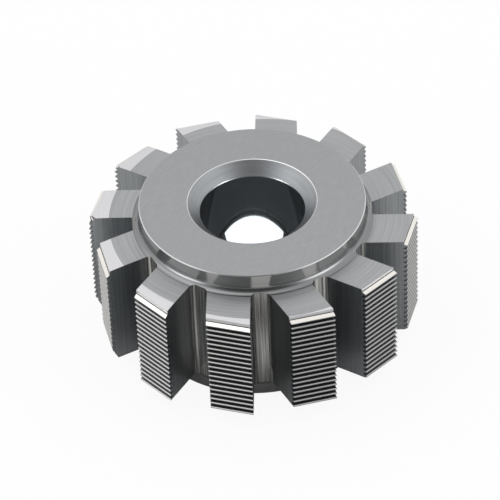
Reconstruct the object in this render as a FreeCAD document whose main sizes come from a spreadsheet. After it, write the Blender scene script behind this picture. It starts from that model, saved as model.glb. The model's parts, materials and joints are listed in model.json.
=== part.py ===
# Spline hob: a one-piece cutter for fine involute splines, ground all over from tool steel.
# Twelve straight gashes leave twelve teeth. Each tooth is a rack of fine ridges, relieved
# behind its rake face, and the ridges of all teeth lie on one right-hand single-start thread.
# Frame: millimetres, +Z along the bore, z = 0 on the lower hub face, one rake face on +X.
import FreeCAD, Part
import Sketcher
import os
from math import cos, degrees, floor, pi, radians, sin, tan

NODE = "spline_hob"
Vector = FreeCAD.Vector
doc = FreeCAD.newDocument("hob")

# Driving dimensions, millimetres and degrees
sheet = doc.addObject("Spreadsheet::Sheet", "sizes")
DRIVING = [
    ("tip_diameter", 85.0, "over the tooth tips, at the rake faces"),
    ("tooth_width", 30.2, "from shoulder to shoulder"),
    ("hub_diameter", 58.4, "both hubs"),
    ("hub_rise", 5.2, "how far each hub stands out of its shoulder"),
    ("hub_root", 1.3, "45 degree root between hub and shoulder"),
    ("hub_edge_break", 0.3, "chamfer round each hub face"),
    ("bore_diameter", 27.0, "arbor bore"),
    ("mouth_chamfer", 3.2, "45 degree chamfer at each bore mouth"),
    ("teeth", 12, "gashes and teeth"),
    ("tooth_land", 11.0, "thickness of a tooth, rake face to heel face"),
    ("gash_floor", 30.0, "distance of a gash floor from the axis"),
    ("gash_corner", 1.4, "corner radius at each side of a gash floor"),
    ("grind_stock", 0.6, "left on the turned blank for the ridges to be ground from"),
    ("tool_overrun", 5.0, "how far the gash and ridge cuts run past the rim and the tooth sides"),
    ("rack_module", 0.5, "spline module: the ridge pitch is pi times this"),
    ("ridge_depth", 1.2, "crest to root"),
    ("ridge_crest", 0.24, "width of a ridge's crest"),
    ("flank_angle", 28.0, "angle of the ridges' flanks to a plane square to the bore"),
    ("first_crest", 1.37, "upper shoulder down to the first crest, on the tooth at +X"),
    ("crest_margin", 0.52, "a crest nearer to the upper shoulder than this is ground off"),
    ("relief_angle", 14.6, "fall of the ridges behind the rake face"),
    ("bevel_start", 39.45, "radius at which the bevel of the upper shoulder begins"),
    ("bevel_angle", 2.0, "its fall towards the tips"),
    ("bevel_offset", 2.3, "its axis lies this far off the bore's"),
    ("bevel_bearing", 3.0, "direction of that offset, from +X"),
    ("lead_reach", 2.5, "radial size of the upper corner taken off the tooth ahead of the first"),
    ("lead_height", 2.0, "its axial size"),
    ("entry_reach", 2.7, "radial size of the upper corner where the thread begins"),
    ("entry_height", 4.3, "its axial size"),
    ("entry_run", 2.3, "how far behind the rake face both fade out"),
    ("exit_reach", 1.6, "radial size of the lower corners where the thread ends"),
    ("exit_height", 3.4, "their axial size"),
]
for row, (alias, value, note) in enumerate(DRIVING, start=1):
    sheet.set(f"A{row}", str(value))
    sheet.setAlias(f"A{row}", alias)
    sheet.set(f"B{row}", "'" + note)
doc.recompute()


def size(alias):
    return float(sheet.get(alias))


def bind(item, **expressions):
    for prop, expression in expressions.items():
        item.setExpression(prop.replace("__", "."), expression)


def plane(body, role):
    return next(part for part in body.Origin.OriginFeatures if part.Role == role)


def new_sketch(body, name, role):
    sketch = body.newObject("Sketcher::SketchObject", name)
    sketch.AttachmentSupport = [(plane(body, role), "")]
    sketch.MapMode = "FlatFace"
    return sketch


def drive(sketch, name, expression, kind, *where):
    """Add one named dimension to a sketch and tie it to the sheet."""
    index = sketch.addConstraint(Sketcher.Constraint(kind, *where))
    sketch.renameConstraint(index, name)
    sketch.setExpression(f"Constraints.{name}", expression)


def rings(shape, radius, level):
    """Names of the full circular edges of one radius at one height."""
    found = []
    for number, edge in enumerate(shape.Edges, start=1):
        curve = edge.Curve
        if curve.TypeId != "Part::GeomCircle" or abs(curve.Radius - radius) > 1e-4:
            continue
        if abs(curve.Center.z - level) < 1e-4:
            found.append(f"Edge{number}")
    return found


# Turned blank: bore, two hubs and the wide rim between them
blank = doc.addObject("PartDesign::Body", "blank")
half = new_sketch(blank, "half_section", "XZ_Plane")
bore_r = size("bore_diameter") / 2
hub_r = size("hub_diameter") / 2
rim_r = size("tip_diameter") / 2 + size("grind_stock")
lower_z = size("hub_rise")
upper_z = lower_z + size("tooth_width")
length = upper_z + size("hub_rise")
corners = [
    (bore_r, 0), (hub_r, 0), (hub_r, lower_z), (rim_r, lower_z),
    (rim_r, upper_z), (hub_r, upper_z), (hub_r, length), (bore_r, length),
]
START, END = range(1, 3)
ROOT = -START
for index, (x, z) in enumerate(corners):
    next_x, next_z = corners[(index + 1) % len(corners)]
    half.addGeometry(Part.LineSegment(Vector(x, z, 0), Vector(next_x, next_z, 0)))
for index in range(len(corners)):
    half.addConstraint(Sketcher.Constraint(
        "Coincident", index, END, (index + 1) % len(corners), START))
    half.addConstraint(Sketcher.Constraint("Vertical" if index % 2 else "Horizontal", index))
half.addConstraint(Sketcher.Constraint("PointOnObject", 0, START, ROOT))
half.addConstraint(Sketcher.Constraint("Vertical", 1, START, 5, START))
drive(half, "bore", "sizes.bore_diameter / 2", "DistanceX", ROOT, START, 0, START, bore_r)
drive(half, "hub", "sizes.hub_diameter / 2", "DistanceX", ROOT, START, 1, START, hub_r)
drive(half, "rim", "sizes.tip_diameter / 2 + sizes.grind_stock",
      "DistanceX", ROOT, START, 3, START, rim_r)
drive(half, "lower_hub", "sizes.hub_rise", "DistanceY", 1, START, 1, END, lower_z)
drive(half, "rim_width", "sizes.tooth_width", "DistanceY", 3, START, 3, END, upper_z - lower_z)
drive(half, "upper_hub", "sizes.hub_rise", "DistanceY", 5, START, 5, END, length - upper_z)
turned = blank.newObject("PartDesign::Revolution", "turned")
turned.Profile = half
turned.ReferenceAxis = (half, ["V_Axis"])
turned.Angle = 360
doc.recompute()

mouths = blank.newObject("PartDesign::Chamfer", "bore_mouths")
mouths.Base = (turned, rings(turned.Shape, bore_r, 0) + rings(turned.Shape, bore_r, length))
bind(mouths, Size="sizes.mouth_chamfer")
doc.recompute()

roots = blank.newObject("PartDesign::Chamfer", "hub_roots")
roots.Base = (mouths, rings(mouths.Shape, hub_r, lower_z) + rings(mouths.Shape, hub_r, upper_z))
bind(roots, Size="sizes.hub_root")
doc.recompute()

breaks = blank.newObject("PartDesign::Chamfer", "hub_edges")
breaks.Base = (roots, rings(roots.Shape, hub_r, 0) + rings(roots.Shape, hub_r, length))
bind(breaks, Size="sizes.hub_edge_break")
doc.recompute()

# One gash: the rake face lies on the X axis, the far side is the next tooth's heel face, which
# is parallel to that tooth's own rake face, and the floor is square to the rake face
land = size("tooth_land")
floor_x = size("gash_floor")
corner_r = size("gash_corner")
overrun = size("tool_overrun")
mouth_x = rim_r + overrun
pitch_angle = 2 * pi / size("teeth")
along_heel = Vector(cos(pitch_angle), sin(pitch_angle), 0)
floor_top = Vector(floor_x, (floor_x - land * sin(pitch_angle)) * tan(pitch_angle)
                   - land * cos(pitch_angle), 0)
corner_run = corner_r / tan((pi / 2 + pitch_angle) / 2)
rake_centre = Vector(floor_x + corner_r, corner_r, 0)
heel_centre = Vector(floor_x + corner_r, floor_top.y - corner_run, 0)
mouth_top = floor_top + along_heel * ((mouth_x - floor_x) / cos(pitch_angle))
gash = new_sketch(blank, "gash_section", "XY_Plane")
RAKE, RAKE_ARC, FLOOR, HEEL_ARC, HEEL, MOUTH, NEXT_RAKE = range(7)
up = Vector(0, 0, 1)
gash.addGeometry([
    Part.LineSegment(Vector(mouth_x, 0, 0), Vector(floor_x + corner_r, 0, 0)),
    Part.ArcOfCircle(Part.Circle(rake_centre, up, corner_r), pi, 1.5 * pi),
    Part.LineSegment(Vector(floor_x, corner_r, 0), Vector(floor_x, heel_centre.y, 0)),
    Part.ArcOfCircle(Part.Circle(heel_centre, up, corner_r), pi / 2 + pitch_angle, pi),
    Part.LineSegment(floor_top + along_heel * corner_run, mouth_top),
    Part.LineSegment(mouth_top, Vector(mouth_x, 0, 0)),
])
gash.addGeometry(Part.LineSegment(Vector(0, 0, 0), along_heel * mouth_x), True)
gash.addConstraint([
    Sketcher.Constraint("PointOnObject", RAKE, START, ROOT),
    Sketcher.Constraint("Horizontal", RAKE),
    Sketcher.Constraint("Tangent", RAKE, END, RAKE_ARC, END),
    Sketcher.Constraint("Tangent", FLOOR, START, RAKE_ARC, START),
    Sketcher.Constraint("Vertical", FLOOR),
    Sketcher.Constraint("Tangent", FLOOR, END, HEEL_ARC, END),
    Sketcher.Constraint("Tangent", HEEL, START, HEEL_ARC, START),
    Sketcher.Constraint("Coincident", HEEL, END, MOUTH, START),
    Sketcher.Constraint("Coincident", MOUTH, END, RAKE, START),
    Sketcher.Constraint("Vertical", MOUTH),
    Sketcher.Constraint("Coincident", NEXT_RAKE, START, ROOT, START),
    Sketcher.Constraint("Parallel", HEEL, NEXT_RAKE),
])
drive(gash, "turn", "360 / sizes.teeth", "Angle", NEXT_RAKE, pitch_angle)
drive(gash, "reach", "sizes.tip_diameter / 2", "Distance", NEXT_RAKE, size("tip_diameter") / 2)
drive(gash, "land", "sizes.tooth_land", "Distance", HEEL, START, NEXT_RAKE, land)
drive(gash, "floor", "sizes.gash_floor", "DistanceX", ROOT, START, FLOOR, START, floor_x)
drive(gash, "mouth", "sizes.tip_diameter / 2 + sizes.grind_stock + sizes.tool_overrun",
      "DistanceX", ROOT, START, MOUTH, END, mouth_x)
drive(gash, "rake_corner", "sizes.gash_corner", "Radius", RAKE_ARC, corner_r)
drive(gash, "heel_corner", "sizes.gash_corner", "Radius", HEEL_ARC, corner_r)
milled = blank.newObject("PartDesign::Pocket", "gash")
milled.Profile = gash
milled.Type = "ThroughAll"
milled.Reversed = True
doc.recompute()

gashes = blank.newObject("PartDesign::PolarPattern", "gashes")
gashes.Originals = [milled]
gashes.Axis = (gash, ["N_Axis"])
gashes.Angle = 360
bind(gashes, Occurrences="sizes.teeth")
blank.Tip = gashes
doc.recompute()

# Bevel: towards the tips the upper shoulder falls away as a very shallow cone. Its axis lies
# off the bore's, so the bevel is wider on one side of the hob than on the other
REACH = "(sizes.tip_diameter / 2 + sizes.grind_stock + sizes.bevel_offset)"
FALL = f"({REACH} - sizes.bevel_start) * tan(sizes.bevel_angle)"


def cut(name, base, tool):
    result = doc.addObject("Part::Cut", name)
    result.Base, result.Tool = base, tool
    return result


disc = doc.addObject("Part::Cylinder", "bevel_disc")
bind(disc, Radius=REACH, Height=FALL)
cone = doc.addObject("Part::Cone", "bevel_cone")
bind(cone, Radius1=REACH, Radius2="sizes.bevel_start", Height=FALL)
for solid in (disc, cone):
    bind(solid, Placement__Base__x="sizes.bevel_offset * cos(sizes.bevel_bearing)",
         Placement__Base__y="sizes.bevel_offset * sin(sizes.bevel_bearing)",
         Placement__Base__z=f"sizes.hub_rise + sizes.tooth_width - {FALL}")
bevelled = cut("upper_bevel", blank, cut("bevel_ring", disc, cone))

# Ridges: each tooth is ground along straight lines that fall away behind its rake face. The
# ridges step along Z from tooth to tooth. Where one would be cut thin by the upper shoulder it
# is ground off down to the roots, and the lower shoulder cuts across the lowest ones
tip_r = size("tip_diameter") / 2
root_r = tip_r - size("ridge_depth")
outer_r = rim_r + overrun
ridge_pitch = pi * size("rack_module")
half_crest = size("ridge_crest") / 2
half_foot = half_crest + size("ridge_depth") * tan(radians(size("flank_angle")))
ENTRY_CORNERS = {5: "lead", 6: "entry"}
ENTRY_FACETS = 4
EXIT_TEETH = (6, 7)


def on_tooth(solid, index):
    """Turn a solid made for the tooth at +X to another tooth."""
    solid.rotate(Vector(0, 0, 0), up, degrees(pitch_angle) * index)
    return solid


def ground_away(profile, index):
    """Sweep a closed outline of (radius, z) along one tooth's relief, past both its sides."""
    fall = tan(radians(size("relief_angle")))
    points = [Vector(radius + overrun * fall, overrun, level) for radius, level in profile]
    face = Part.Face(Part.makePolygon(points + points[:1]))
    reach = land + 2 * overrun
    return on_tooth(face.extrude(Vector(-reach * fall, -reach, 0)), index)


def ridge_outline(index):
    """The zigzag of one tooth's ridges, run past both shoulders and closed outside the rim."""
    crest = upper_z - size("first_crest") + ridge_pitch * index / size("teeth")
    crest += ridge_pitch * floor((upper_z - size("crest_margin") - crest) / ridge_pitch)
    outline = [(outer_r, upper_z + overrun), (root_r, upper_z + overrun)]
    while crest > lower_z - ridge_pitch:
        outline += [(root_r, crest + half_foot), (tip_r, crest + half_crest),
                    (tip_r, crest - half_crest), (root_r, crest - half_foot)]
        crest -= ridge_pitch
    return outline + [(outer_r, outline[-1][1])]


def exit_outline():
    """A wedge that takes the lower tip corner off a tooth."""
    reach, height = size("exit_reach"), size("exit_height")
    lift = overrun * height / reach
    return [(tip_r - reach - overrun, lower_z - lift), (tip_r + overrun, lower_z - lift),
            (tip_r + overrun, lower_z + height + lift)]


def entry_corner(index):
    """A rounded corner off the rake face's upper tip, fading to a point behind the face."""
    kind = ENTRY_CORNERS[index]
    reach, height = size(f"{kind}_reach"), size(f"{kind}_height")
    tail = Vector(tip_r, -size("entry_run"), upper_z)
    rounding = [(tip_r - reach * (1 - sin(pi / 2 * step / ENTRY_FACETS)),
                 upper_z - height * (1 - cos(pi / 2 * step / ENTRY_FACETS)))
                for step in range(ENTRY_FACETS + 1)]
    outline = [(tip_r + reach, upper_z + height), (tip_r - reach, upper_z + height)]
    outline += rounding + [(tip_r + reach, upper_z - height)]
    near = [tail + (Vector(r, 0, z) - tail) * 2 for r, z in outline]
    sides = [Part.Face(Part.makePolygon([tail, a, b, tail]))
             for a, b in zip(near, near[1:] + near[:1])]
    base = Part.Face(Part.makePolygon(near + near[:1]))
    return on_tooth(Part.Solid(Part.Shell(sides + [base])), index)


teeth = int(size("teeth"))
ridges = doc.addObject("Part::Feature", "ridge_grinding")
ridges.Shape = Part.makeCompound([ground_away(ridge_outline(k), k) for k in range(teeth)])
ground = cut("ground", bevelled, ridges)

# Thread ends: the thin part ridges are taken off the teeth where the thread begins and ends
corners = doc.addObject("Part::Feature", "end_corners")
corners.Shape = Part.makeCompound(
    [entry_corner(k) for k in ENTRY_CORNERS] + [ground_away(exit_outline(), k) for k in EXIT_TEETH])
hob = cut("hob", ground, corners)
doc.recompute()
hob.Label = NODE
for item in doc.Objects:
    if "Invalid" in item.State or "Error" in item.State:
        raise RuntimeError(f"{item.Name} did not compute: {item.State}")
if hob.Shape.isNull() or not hob.Shape.isValid() or len(hob.Shape.Solids) != 1:
    raise RuntimeError("the hob is not one valid solid")
os.makedirs("parts", exist_ok=True)
hob.Shape.exportStep(f"parts/{NODE}.step")
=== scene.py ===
# Spline hob on a pale studio floor. The visual mesh is cut the way the real hob is made: a turned
# blank, milled gashes, a shallow bevel, and thread ridges ground with relief on every tooth.
import bpy
import bmesh
import json
from math import atan2, ceil, cos, hypot, pi, radians, sin, tan
from mathutils import Matrix, Vector


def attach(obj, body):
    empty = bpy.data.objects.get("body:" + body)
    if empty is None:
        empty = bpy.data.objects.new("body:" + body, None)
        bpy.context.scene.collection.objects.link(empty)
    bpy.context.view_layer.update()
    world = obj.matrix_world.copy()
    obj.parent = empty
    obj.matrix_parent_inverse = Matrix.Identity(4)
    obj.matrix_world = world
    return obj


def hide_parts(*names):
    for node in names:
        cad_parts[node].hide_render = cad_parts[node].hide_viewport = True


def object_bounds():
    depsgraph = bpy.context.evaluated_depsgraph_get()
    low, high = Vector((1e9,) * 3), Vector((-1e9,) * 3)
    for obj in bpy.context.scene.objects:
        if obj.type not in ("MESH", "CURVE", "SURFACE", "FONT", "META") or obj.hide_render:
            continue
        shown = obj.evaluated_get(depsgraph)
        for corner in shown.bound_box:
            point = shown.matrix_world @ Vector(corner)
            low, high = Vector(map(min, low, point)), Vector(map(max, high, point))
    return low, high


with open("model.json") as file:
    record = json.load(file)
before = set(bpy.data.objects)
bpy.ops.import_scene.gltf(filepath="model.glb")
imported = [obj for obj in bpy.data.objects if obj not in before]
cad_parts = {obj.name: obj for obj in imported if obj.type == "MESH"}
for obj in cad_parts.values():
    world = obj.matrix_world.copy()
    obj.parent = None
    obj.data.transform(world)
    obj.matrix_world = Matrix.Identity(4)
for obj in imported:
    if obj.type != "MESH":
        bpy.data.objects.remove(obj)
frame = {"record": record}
cadLow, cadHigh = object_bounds()
scene = bpy.context.scene
millimetre = 0.001

# Sizes in millimetres, as in the CAD; the frame gives the outer ones
mounts = {mount["name"]: mount for mount in frame["record"]["mounts"]}
hob = {
    "length": cadHigh.z / millimetre,
    "tipRadius": (cadHigh.x - cadLow.x) / 2 / millimetre,
    "boreRadius": mounts["bore"]["dims"]["r_mm"],
    "hubRadius": 29.2,
    "hubRise": 5.2,
    "hubRootRadius": 1.9,
    "hubEdgeBreak": 0.22,
    "mouthChamfer": 3.2,
    "mouthEdgeBreak": 0.1,
    "teeth": 12,
    "toothLand": 11.0,
    "gashFloor": 30.0,
    "gashCorner": 1.4,
    "stock": 0.6,
    "spare": 1,
    "ringSteps": 360,
    "rootSteps": 14,
    "rakeCornerSteps": 12,
    "heelCornerSteps": 10,
}
ridge = {
    "pitch": 0.5 * pi,
    "depth": 1.05,
    "crest": 0.24,
    "flankAngle": radians(28),
    # Width of the painted highlight band on each flank, next to its crest
    "paintedFlankHighlight": 0.22,
    "firstCrest": 1.37,
    "groundOff": 0.52,
    # Width of the painted shade line at the foot of the first flank, and along the root just above
    # it
    "paintedFootShadeLine": 0.13,
    "reliefAngle": radians(14.6),
    "overrun": 3.0,
    "outside": 8,
}
bevelRing = {
    "start": 39.45,
    "angle": radians(2),
    "offset": 2.3,
    "bearing": radians(3),
    "reach": 47.0,
    "clear": 2,
}
wedges = {
    "entryCorners": {5: (2.5, 2.0), 6: (2.7, 4.3)},
    "entryRun": 2.3,
    "entrySteps": 12,
    "exitTeeth": (6, 7),
    "exitReach": 1.6,
    "exitHeight": 3.4,
    "exitSpare": 4.0,
}
lowerShoulder = hob["hubRise"]
upperShoulder = hob["length"] - hob["hubRise"]
rimRadius = hob["tipRadius"] + hob["stock"]
toothAngle = 2 * pi / hob["teeth"]
crestRadius = hob["tipRadius"]
rootRadius = crestRadius - ridge["depth"]


def meshObject(name, points, faces):
    mesh = bpy.data.meshes.new(name)
    mesh.from_pydata(points, [], faces)
    obj = bpy.data.objects.new(name, mesh)
    scene.collection.objects.link(obj)
    work = bmesh.new()
    work.from_mesh(mesh)
    bmesh.ops.recalc_face_normals(work, faces=work.faces)
    work.to_mesh(mesh)
    work.free()
    return obj


def turned(name, outline, centre=(0, 0)):
    # Turns a closed outline of (radius, z) about Z into a ring
    steps, count = hob["ringSteps"], len(outline)
    points = []
    for step in range(steps):
        angle = 2 * pi * step / steps
        points += [(centre[0] + r * cos(angle), centre[1] + r * sin(angle), z) for r, z in outline]
    faces = []
    for step in range(steps):
        here, there = step * count, (step + 1) % steps * count
        for i in range(count):
            j = (i + 1) % count
            faces.append((here + i, there + i, there + j, here + j))
    return meshObject(name, points, faces)


def joinedSolids(name, solids):
    # One mesh of several closed solids, each given as (points, faces)
    points, faces = [], []
    for ownPoints, ownFaces in solids:
        first = len(points)
        points += ownPoints
        faces += [tuple(first + i for i in face) for face in ownFaces]
    return meshObject(name, points, faces)


def capped(rows):
    # A closed solid through rows of points, with a cap on the first and the last row
    count = len(rows[0])
    points = [point for row in rows for point in row]
    faces = [tuple(range(count)), tuple(range(len(points) - count, len(points)))]
    for row in range(len(rows) - 1):
        for i in range(count):
            j = (i + 1) % count
            here = row * count
            faces.append((here + i, here + j, here + count + j, here + count + i))
    return points, faces


def spun(point, angle):
    x, y, z = point
    return (x * cos(angle) - y * sin(angle), x * sin(angle) + y * cos(angle), z)


def arc(centre, radius, start, end, steps):
    return [(centre[0] + radius * cos(start + (end - start) * i / steps),
             centre[1] + radius * sin(start + (end - start) * i / steps))
            for i in range(steps + 1)]


def hobSection():
    # Half section of the turned blank: bore, mouth, hub face, hub wall, hollow root, rim
    bore, hub, root = hob["boreRadius"], hob["hubRadius"], hob["hubRootRadius"]
    mouth, fine, edge = hob["mouthChamfer"], hob["mouthEdgeBreak"], hob["hubEdgeBreak"]
    end = [(bore, mouth + fine), (bore + fine, mouth - fine),
           (bore + mouth - fine, fine), (bore + mouth + fine, 0),
           (hub - edge, 0), (hub, edge)]
    end += arc((hub + root, lowerShoulder - root), root, pi, pi / 2, hob["rootSteps"])
    end += [(rimRadius, lowerShoulder)]
    length = hob["length"]
    far = [(r, length - z) for r, z in reversed(end)]
    return end + far


def gashOutline():
    # Rake face on X, heel face of the next tooth, and a floor square to the rake face
    floorX, corner, land = hob["gashFloor"], hob["gashCorner"], hob["toothLand"]
    mouthX = rimRadius + ridge["overrun"]
    heelY = (floorX - land * sin(toothAngle)) * tan(toothAngle) - land * cos(toothAngle)
    run = corner / tan((pi / 2 + toothAngle) / 2)
    rakeCorner = arc((floorX + corner, corner), corner, 1.5 * pi, pi, hob["rakeCornerSteps"])
    heelCorner = arc((floorX + corner, heelY - run), corner, pi, pi / 2 + toothAngle,
                     hob["heelCornerSteps"])
    mouthY = heelY + (mouthX - floorX) * tan(toothAngle)
    return [(mouthX, 0)] + rakeCorner + heelCorner + [(mouthX, mouthY)]


def gashPrism(index):
    outline = gashOutline()
    rows = [[spun((x, y, z), index * toothAngle) for x, y in outline]
            for z in (-hob["spare"], hob["length"] + hob["spare"])]
    return capped(rows)


def reliefSweep(outline, index):
    # Sweeps (radius, z) along the straight relief of one tooth, past both of its sides
    over, fall = ridge["overrun"], tan(ridge["reliefAngle"])
    rows = [[spun((r + v * fall, v, z), index * toothAngle) for r, z in outline]
            for v in (over, -hob["toothLand"] - over)]
    return capped(rows)


def topCrest(index):
    # The crests climb by a twelfth of the pitch from tooth to tooth. Those close to the upper
    # shoulder are ground off, so this is the highest one that is left
    crest = upperShoulder - ridge["firstCrest"] + ridge["pitch"] * index / hob["teeth"]
    return crest - ridge["pitch"] * (crest > upperShoulder - ridge["groundOff"])


def ridgeOutline(index):
    # Zigzag of one tooth, with the bare root above its highest ridge and run past both shoulders
    pitch, highlightWidth, line = ridge["pitch"], ridge["paintedFlankHighlight"], ridge["paintedFootShadeLine"]
    halfCrest = ridge["crest"] / 2
    rise = tan(ridge["flankAngle"])
    halfFoot = halfCrest + ridge["depth"] * rise
    # The second and third points lie on the flank's own line; they only split each flank into
    # bands for painted shade at its foot and a painted highlight next to its crest
    upper = [(rootRadius, halfFoot), (rootRadius + line, halfFoot - line * rise),
             (crestRadius - highlightWidth, halfCrest + highlightWidth * rise), (crestRadius, halfCrest)]
    lower = [(r, -z) for r, z in reversed(upper)]
    crest = topCrest(index)
    over, outside = upperShoulder + ridge["overrun"], rimRadius + ridge["outside"]
    # The root's lowest strip above the first flank is split off for the painted shade line
    outline = [(outside, over), (rootRadius, over), (rootRadius, crest + halfFoot + line)]
    while crest > lowerShoulder - pitch:
        outline += [(r, crest + z) for r, z in upper + lower]
        crest -= pitch
    return outline + [(outside, outline[-1][1])]


def exitOutline():
    # A wedge that takes the lower tip corner off a tooth
    reach, drop, spare = wedges["exitReach"], wedges["exitHeight"], wedges["exitSpare"]
    lift = spare * drop / reach
    return [(crestRadius - reach - spare, lowerShoulder - lift),
            (crestRadius + spare, lowerShoulder - lift),
            (crestRadius + spare, lowerShoulder + drop + lift)]


def entryCorner(index):
    # A rounded corner off the rake face's upper tip, fading to a point behind the face
    reach, drop = wedges["entryCorners"][index]
    steps = wedges["entrySteps"]
    outline = [(crestRadius + reach, upperShoulder + drop),
               (crestRadius - reach, upperShoulder + drop)]
    for step in range(steps + 1):
        turn = pi / 2 * step / steps
        outline.append((crestRadius - reach * (1 - sin(turn)),
                        upperShoulder - drop * (1 - cos(turn))))
    outline.append((crestRadius + reach, upperShoulder - drop))
    run = wedges["entryRun"]
    points = [(crestRadius, -run, upperShoulder)]
    points += [(2 * r - crestRadius, run, 2 * z - upperShoulder) for r, z in outline]
    count = len(outline)
    faces = [(0, i + 1, (i + 1) % count + 1) for i in range(count)]
    faces.append(tuple(range(count, 0, -1)))
    return [spun(point, index * toothAngle) for point in points], faces


def bevelOutline():
    # Everything above the shallow cone, outside the circle where the bevel begins
    start, reach, fall = bevelRing["start"], bevelRing["reach"], tan(bevelRing["angle"])
    clear = upperShoulder + bevelRing["clear"]
    return [(start, upperShoulder), (reach, upperShoulder - (reach - start) * fall),
            (reach, clear), (start, clear)]


def cutAway(obj, tool):
    modifier = obj.modifiers.new("cut", "BOOLEAN")
    modifier.object = tool
    modifier.solver = "MANIFOLD"
    bpy.context.view_layer.update()
    evaluated = obj.evaluated_get(bpy.context.evaluated_depsgraph_get())
    result = bpy.data.meshes.new_from_object(evaluated)
    obj.modifiers.clear()
    obj.data = result
    bpy.data.objects.remove(tool)


# Turned blank, gashes and bevel
visual = turned("hob_visual", hobSection())
cutAway(visual, joinedSolids("gashTool", [gashPrism(k) for k in range(hob["teeth"])]))
bevelCentre = (bevelRing["offset"] * cos(bevelRing["bearing"]),
               bevelRing["offset"] * sin(bevelRing["bearing"]))
cutAway(visual, turned("bevelTool", bevelOutline(), bevelCentre))
print("gashes and bevel cut:", len(visual.data.polygons), "faces")

# Thread ridges, and the corners taken off where the thread begins and ends
for k in range(hob["teeth"]):
    cutAway(visual, joinedSolids("ridgeTool", [reliefSweep(ridgeOutline(k), k)]))
for k in wedges["entryCorners"]:
    cutAway(visual, joinedSolids("entryTool", [entryCorner(k)]))
for k in wedges["exitTeeth"]:
    cutAway(visual, joinedSolids("exitTool", [reliefSweep(exitOutline(), k)]))
print("ridges cut:", len(visual.data.polygons), "faces")


def toLinear(code):
    parts = [int(code[i:i + 2], 16) / 255 for i in (1, 3, 5)]
    return tuple(c / 12.92 if c <= 0.04045 else ((c + 0.055) / 1.055) ** 2.4 for c in parts)


def addNode(tree, kind, inputs=None, **settings):
    node = tree.nodes.new("ShaderNode" + kind)
    for name, value in settings.items():
        setattr(node, name, value)
    for name, value in (inputs or {}).items():
        if isinstance(value, bpy.types.NodeSocket):
            tree.links.new(value, node.inputs[name])
        else:
            node.inputs[name].default_value = value
    return node


# Finishes of the one steel, and the thread's bands of painted light and shade: colour, roughness,
# the grain's kind, its lines per mm, how far it lightens and darkens the colour, and how long one
# grain line runs before it fades
finishesAndPaintedLight = {
    "hubFace": ("#a7a9ab", 0.32, "scratched", 3.0, 0.06, 25),
    "shoulder": ("#aeafb1", 0.50, "turned", 2.4, 0.13, 25),
    "bevel": ("#e2e1e4", 0.30, "turned", 2.5, 0.04, 25),
    "mouth": ("#a1a4a7", 0.38, "turned", 4.0, 0.12, 25),
    "brokenEdge": ("#dcdcdc", 0.25, "plain", 1, 0, 1),
    "hubWall": ("#aaaaa9", 0.14, "turned", 3.0, 0.06, 25),
    "hubRoot": ("#8a8b8c", 0.24, "turned", 5.0, 0.12, 25),
    "bore": ("#8f9599", 0.05, "turned", 1.2, 0.08, 25),
    "rake": ("#979a9c", 0.30, "upright", 2.2, 0.18, 60),
    "heel": ("#979a9c", 0.30, "upright", 2.2, 0.18, 60),
    "gashFloor": ("#aaa9a6", 0.22, "upright", 2.6, 0.8, 60),
    "crest": ("#a8a7a6", 0.30, "plain", 1, 0, 1),
    # Painted highlight: the outer band of each flank, next to its crest, is lighter than the flank
    # deeper in
    "paintedFlankHighlight": ("#b6b5b3", 0.20, "plain", 1, 0, 1),
    # Painted light: the first flank under the shoulder, which no ridge shades, is near white
    "paintedLightTopFlank": ("#efebe5", 0.16, "plain", 1, 0, 1),
    # Painted light: the bare root above the highest ridge is lighter than the same root between
    # the ridges
    "paintedLightTopWall": ("#cecfd1", 0.30, "plain", 1, 0, 1),
    # Painted shade: the lower flanks, the roots between ridges, the inner flanks and the foot line
    # are dark, for the shade deep in the grooves
    "paintedGrooveShade": ("#4a4d4f", 0.35, "plain", 1, 0, 1),
    "rim": ("#8a8a8a", 0.25, "plain", 1, 0, 1),
}
finishAndPaintedLightNames = list(finishesAndPaintedLight)
marking = {
    "turnRadius": 30,
    "scratchAngle": radians(35),
    "scratchStretch": 8,
    "detail": 3,
    "roughness": 0.6,
    "low": 0.3,
    "high": 0.7,
}
oilHaze = {"Coat Weight": 1, "Coat Roughness": 0.6}


def grain(tree, kind, density, length):
    # Noise stretched along the tool marks, in object millimetres
    place = addNode(tree, "TexCoord").outputs["Object"]
    place = addNode(tree, "VectorMath", {0: place, "Scale": 1 / millimetre},
                    operation="SCALE").outputs[0]
    if kind == "turned":
        parts = addNode(tree, "SeparateXYZ", {0: place})
        flat = addNode(tree, "CombineXYZ", {0: parts.outputs[0], 1: parts.outputs[1]})
        radius = addNode(tree, "VectorMath", {0: flat.outputs[0]}, operation="LENGTH")
        turn = addNode(tree, "Math", {0: parts.outputs[1], 1: parts.outputs[0]},
                       operation="ARCTAN2")
        slow = addNode(tree, "Math", {0: turn.outputs[0], 1: marking["turnRadius"] / length},
                       operation="MULTIPLY")
        place = addNode(tree, "CombineXYZ", {0: radius.outputs["Value"], 1: slow.outputs[0],
                                             2: parts.outputs[2]}).outputs[0]
        stretch = (density, 1, density)
    elif kind == "upright":
        stretch = (density, density, density / length)
    else:
        place = addNode(tree, "VectorRotate", {"Vector": place,
                                               "Angle": marking["scratchAngle"]},
                        rotation_type="Z_AXIS").outputs[0]
        stretch = (density, density / marking["scratchStretch"], density)
    place = addNode(tree, "VectorMath", {0: place, 1: stretch}, operation="MULTIPLY").outputs[0]
    noise = addNode(tree, "TexNoise", {"Vector": place, "Scale": 1, "Detail": marking["detail"],
                                       "Roughness": marking["roughness"]})
    return addNode(tree, "MapRange", {"Value": noise.outputs["Fac"], "From Min": marking["low"],
                                      "From Max": marking["high"], "To Min": -1,
                                      "To Max": 1}).outputs[0]


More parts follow.
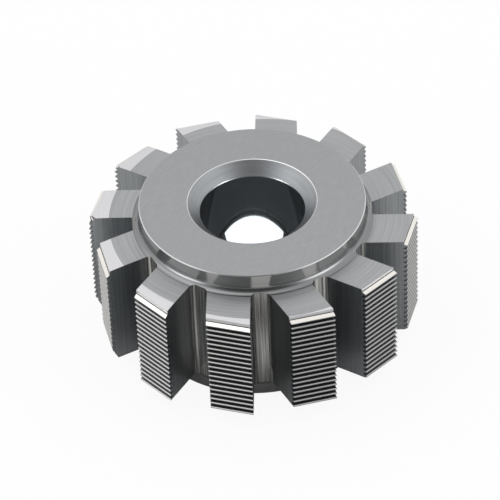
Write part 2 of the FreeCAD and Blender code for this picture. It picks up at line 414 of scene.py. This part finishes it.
def steel(name):
    colour, roughness, kind, density, contrast, length = finishesAndPaintedLight[name]
    material = bpy.data.materials.new(name)
    material.use_nodes = True
    tree = material.node_tree
    shader = tree.nodes["Principled BSDF"]
    shader.inputs["Metallic"].default_value = 1
    shader.inputs["Roughness"].default_value = roughness
    shader.inputs["Base Color"].default_value = (*toLinear(colour), 1)
    if kind != "plain":
        marks = grain(tree, kind, density, length)
        factor = addNode(tree, "Math", {0: marks, 1: contrast, 2: 1}, operation="MULTIPLY_ADD")
        tinted = addNode(tree, "VectorMath", {0: toLinear(colour), "Scale": factor.outputs[0]},
                         operation="SCALE")
        tree.links.new(tinted.outputs[0], shader.inputs["Base Color"])
    if name == "bore":
        # Preserving oil leaves a faint haze over the honed steel
        for socket, value in oilHaze.items():
            shader.inputs[socket].default_value = value
    return material


# Limits that tell faces apart: lengths in millimetres, and parts of a face's unit normal
limits = {
    "touch": 0.01,
    "close": 0.02,
    "below": 0.001,
    "profile": 0.03,
    "gashZone": 5,
    "cone": 0.2,
    "wall": 0.1,
    "tilted": 0.02,
    "flank": 0.3,
    "facing": 0.99,
    "bevel": 0.998,
    "level": 0.9998,
}


def finishAndPaintedLightOf(centre, normal):
    # Which finish a face has, and on the thread which band of painted light and shade it gets,
    # from where it lies on the hob and which way it faces
    x, y, z = centre
    radius = hypot(x, y)
    outward = (x * normal.x + y * normal.y) / radius
    upright = abs(normal.z)
    ends = min(z, hob["length"] - z)
    if radius < hob["boreRadius"] + limits["touch"]:
        return "bore"
    if outward < -limits["cone"] and upright > limits["cone"]:
        halfway = abs(abs(outward) - upright) < limits["touch"]
        return "mouth" if halfway else "brokenEdge"
    if radius < hob["hubRadius"] + limits["close"] and ends < hob["hubRise"]:
        if upright > limits["facing"]:
            return "hubFace"
        return "hubWall" if upright < limits["wall"] else "brokenEdge"
    if (radius < hob["hubRadius"] + hob["hubRootRadius"]
            and ends < hob["hubRise"] - limits["below"] and upright > limits["tilted"]):
        return "hubRoot"
    if upright > limits["bevel"]:
        return "shoulder" if upright > limits["level"] else "bevel"

    # The rest lies on a tooth: u runs out along its rake face, and v forward from that face
    k = ceil(atan2(y, x) / toothAngle - limits["below"])
    u, v, _ = spun((x, y, z), -k * toothAngle)
    facing = spun((normal.x, normal.y, 0), -k * toothAngle)[1]
    if abs(v) < limits["close"] and facing > limits["facing"]:
        return "rake"
    if abs(v + hob["toothLand"]) < limits["close"] and facing < -limits["facing"]:
        return "heel"
    profile = u - v * tan(ridge["reliefAngle"])
    inGash = radius <= hob["gashFloor"] + limits["gashZone"]
    if profile < rootRadius - limits["profile"] or inGash:
        return "gashFloor" if inGash else "rim"
    if upright < limits["tilted"] and profile > crestRadius - limits["profile"]:
        return "crest"
    # From here on, flanks and roots get bands of painted light and shade: painted light on the
    # bare root above the highest ridge and on the first flank, a painted highlight next to each
    # crest, and painted shade at the foot line, on the lower flanks and deeper in every groove
    above = z - topCrest(k % hob["teeth"])
    foot = ridge["crest"] / 2 + ridge["depth"] * tan(ridge["flankAngle"])
    if upright < limits["tilted"] and above > foot + ridge["paintedFootShadeLine"]:
        return "paintedLightTopWall"
    if normal.z < limits["flank"]:
        return "paintedGrooveShade"
    if above > 0:
        return "paintedLightTopFlank" if profile > rootRadius + ridge["paintedFootShadeLine"] else "paintedGrooveShade"
    return "paintedFlankHighlight" if profile > crestRadius - ridge["paintedFlankHighlight"] else "paintedGrooveShade"


sharpFrom = radians(9)
visual.data.materials.clear()
for name in finishAndPaintedLightNames:
    visual.data.materials.append(steel(name))
for face in visual.data.polygons:
    face.material_index = finishAndPaintedLightNames.index(finishAndPaintedLightOf(face.center, face.normal))
visual.data.transform(Matrix.Scale(millimetre, 4))
visual.data.polygons.foreach_set("use_smooth", [True] * len(visual.data.polygons))
visual.data.set_sharp_from_angle(angle=sharpFrom)
evenNormals = visual.modifiers.new("even_normals", "WEIGHTED_NORMAL")
evenNormals.keep_sharp = True
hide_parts("spline_hob")
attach(visual, "root")
print("finishes given")

# Studio: a pale floor in a white surround. Its lobes are a dark field behind the camera, a soft
# light high on the left, a low reflector at either side for the hub's root, and a dimmer back
studio = {
    "surround": 1.0,
    "lobes": [
        {"bearing": 270, "height": 25, "inner": 22, "outer": 52, "gain": -0.88},
        {"bearing": 165, "height": 62, "inner": 10, "outer": 34, "gain": 0.6},
        {"bearing": 207, "height": 5, "inner": 6, "outer": 24, "gain": 2.9},
        {"bearing": 335, "height": 5, "inner": 6, "outer": 24, "gain": 2.9},
        {"bearing": 93, "height": 15, "inner": 10, "outer": 33, "gain": -0.3},
    ],
    "floorHalf": 3,
    "floorTone": "#e4e4e4",
    "floorGlow": 0.9,
    "floorLight": 1.02,
    # Painted light and shade that only mirror images of the floor show: a glow in the bore's
    # circle, and shade round the foot and in front
    "boreGlow": 4.4,
    "boreGlowAgain": 0.3,
    "boreGlowRadius": 0.0142,
    "boreGlowEdge": 0.0028,
    "boreGlowWide": 0.0168,
    "footShade": (0.030, 0.055),
    "footLevel": 0.75,
    "frontShade": 0.25,
    "frontShadeTurns": (radians(52), radians(20)),
    "frontShadeBand": (0.050, 0.060, 0.067, 0.073),
    "firstMirror": 1.5,
}
half = studio["floorHalf"]
corners = [(-half, -half, 0), (half, -half, 0), (half, half, 0), (-half, half, 0)]
floor = meshObject("floor", corners, [(0, 1, 2, 3)])
floorMaterial = bpy.data.materials.new("floor")
floorMaterial.use_nodes = True
tree = floorMaterial.node_tree
tree.nodes.clear()
path = addNode(tree, "LightPath")
spot = addNode(tree, "TexCoord").outputs["Object"]
away = addNode(tree, "VectorMath", {0: spot}, operation="LENGTH").outputs["Value"]
depth = addNode(tree, "SeparateXYZ", {0: spot}).outputs[1]

# Painted light: where the bore mirrors it, the floor glows white inside a circle, cut off just
# behind the axis, for light that falls down the bore. Further mirror images of it are fainter, and
# reach out to the lower mouth
first = addNode(tree, "Math", {0: path.outputs["Ray Depth"], 1: studio["firstMirror"]},
                operation="LESS_THAN")
reach = addNode(tree, "MapRange", {"Value": first.outputs[0], "To Min": studio["boreGlowWide"],
                                   "To Max": studio["boreGlowRadius"]})
edge = addNode(tree, "MapRange", {"Value": first.outputs[0], "To Min": studio["boreGlowWide"],
                                  "To Max": studio["boreGlowEdge"]})
inside = addNode(tree, "Math", {0: away, 1: reach.outputs[0]}, operation="LESS_THAN")
inFront = addNode(tree, "Math", {0: depth, 1: edge.outputs[0]}, operation="LESS_THAN")
patch = addNode(tree, "Math", {0: inside.outputs[0], 1: inFront.outputs[0]},
                operation="MULTIPLY")
mirrored = addNode(tree, "Math", {0: path.outputs["Is Glossy Ray"], 1: patch.outputs[0]},
                   operation="MULTIPLY")
once = addNode(tree, "Math", {0: first.outputs[0], 1: mirrored.outputs[0]}, operation="MULTIPLY")
glow = addNode(tree, "Math", {0: path.outputs["Is Camera Ray"], 1: studio["floorGlow"],
                              2: mirrored.outputs[0]}, operation="MULTIPLY_ADD")
again, light = studio["boreGlowAgain"], studio["floorLight"]
strength = addNode(tree, "Math", {0: mirrored.outputs[0], 1: again - light, 2: light},
                   operation="MULTIPLY_ADD")
strength = addNode(tree, "Math", {0: once.outputs[0], 1: studio["boreGlow"] - again,
                                  2: strength.outputs[0]}, operation="MULTIPLY_ADD")

# Painted shade: the steel also mirrors the floor darker round the foot, and darker in a band out
# in front
foot = addNode(tree, "MapRange", {"Value": away, "From Min": studio["footShade"][0],
                                  "From Max": studio["footShade"][1],
                                  "To Min": studio["footLevel"], "To Max": 1})
facing = addNode(tree, "VectorMath", {0: spot}, operation="NORMALIZE").outputs[0]
facing = addNode(tree, "VectorMath", {0: facing, 1: (0, -1, 0)}, operation="DOT_PRODUCT")
turns, band = studio["frontShadeTurns"], studio["frontShadeBand"]
front = addNode(tree, "MapRange", {"Value": facing.outputs["Value"], "From Min": cos(turns[0]),
                                   "From Max": cos(turns[1]), "To Min": 0,
                                   "To Max": studio["frontShade"] - 1},
                interpolation_type="SMOOTHSTEP")
inner = addNode(tree, "MapRange", {"Value": away, "From Min": band[0], "From Max": band[1],
                                   "To Min": 0, "To Max": 1})
front = addNode(tree, "Math", {0: front.outputs[0], 1: inner.outputs[0]}, operation="MULTIPLY")
outer = addNode(tree, "MapRange", {"Value": away, "From Min": band[2], "From Max": band[3],
                                   "To Min": 1, "To Max": 0})
front = addNode(tree, "Math", {0: front.outputs[0], 1: outer.outputs[0], 2: 1},
                operation="MULTIPLY_ADD")
shade = addNode(tree, "Math", {0: foot.outputs[0], 1: front.outputs[0]}, operation="MULTIPLY")
dim = addNode(tree, "Mix", {"Factor": path.outputs["Is Glossy Ray"], "A": 1.0,
                            "B": shade.outputs[0]})
tone = addNode(tree, "VectorMath", {0: toLinear(studio["floorTone"]), "Scale": dim.outputs[0]},
               operation="SCALE")

# Matt for all other rays, and mostly its own white for the camera, so the hob's shadow stays soft
matt = addNode(tree, "BsdfDiffuse", {"Color": tone.outputs[0]})
white = addNode(tree, "Emission", {"Color": (1, 1, 1, 1), "Strength": strength.outputs[0]})
mixed = addNode(tree, "MixShader", {0: glow.outputs[0], 1: matt.outputs[0], 2: white.outputs[0]})
addNode(tree, "OutputMaterial", {"Surface": mixed.outputs[0]})
floor.data.materials.append(floorMaterial)

world = bpy.data.worlds.new("studio")
scene.world = world
world.use_nodes = True
tree = world.node_tree
tree.nodes.clear()
look = addNode(tree, "TexCoord").outputs["Generated"]
level = None
for lobe in studio["lobes"]:
    bearing, height = radians(lobe["bearing"]), radians(lobe["height"])
    towards = (cos(bearing) * cos(height), sin(bearing) * cos(height), sin(height))
    nearness = addNode(tree, "VectorMath", {0: look, 1: towards}, operation="DOT_PRODUCT")
    part = addNode(tree, "MapRange", {"Value": nearness.outputs["Value"],
                                      "From Min": cos(radians(lobe["outer"])),
                                      "From Max": cos(radians(lobe["inner"])),
                                      "To Min": 0, "To Max": lobe["gain"]},
                   interpolation_type="SMOOTHSTEP").outputs[0]
    base = studio["surround"] if level is None else level
    level = addNode(tree, "Math", {0: part, 1: base}, operation="ADD").outputs[0]
lit = addNode(tree, "Background", {"Color": (1, 1, 1, 1), "Strength": level})
plain = addNode(tree, "Background", {"Color": (1, 1, 1, 1), "Strength": 1})
path = addNode(tree, "LightPath")
chosen = addNode(tree, "MixShader", {0: path.outputs["Is Camera Ray"], 1: lit.outputs[0],
                                     2: plain.outputs[0]})
addNode(tree, "OutputWorld", {"Surface": chosen.outputs[0]})
print("studio made")

# Camera: a long lens, from above, aimed a little below and beside the hub
shot = {
    "sensor": 36,
    "nearest": 0.05,
    "height": radians(40.652),
    "bearing": radians(-87.355),
    "distance": 0.85646,
    "target": (0, 0, upperShoulder * millimetre),
    "focal": 3325.66,
    "picture": 500,
    "aside": (4.208, 33.914),
    "roll": radians(2.543),
}
back = Vector((cos(shot["bearing"]) * cos(shot["height"]),
               sin(shot["bearing"]) * cos(shot["height"]), sin(shot["height"])))
right = Vector((0, 0, 1)).cross(back).normalized()
above = back.cross(right)
stand = Vector(shot["target"]) + back * shot["distance"]
aside, lift = (value / shot["focal"] * shot["distance"] for value in shot["aside"])
aim = Vector(shot["target"]) - right * aside - above * lift
camera = bpy.data.objects.new("camera", bpy.data.cameras.new("camera"))
camera.data.sensor_width = shot["sensor"]
camera.data.lens = shot["focal"] / shot["picture"] * camera.data.sensor_width
camera.data.clip_start = shot["nearest"]
camera.location = stand
camera.rotation_mode = "QUATERNION"
camera.rotation_quaternion = ((aim - stand).to_track_quat("-Z", "Y")
                              @ Matrix.Rotation(-shot["roll"], 4, "Z").to_quaternion())
scene.collection.objects.link(camera)
scene.camera = camera
scene.view_settings.view_transform = "Standard"
scene.view_settings.look = "None"
print("camera placed")
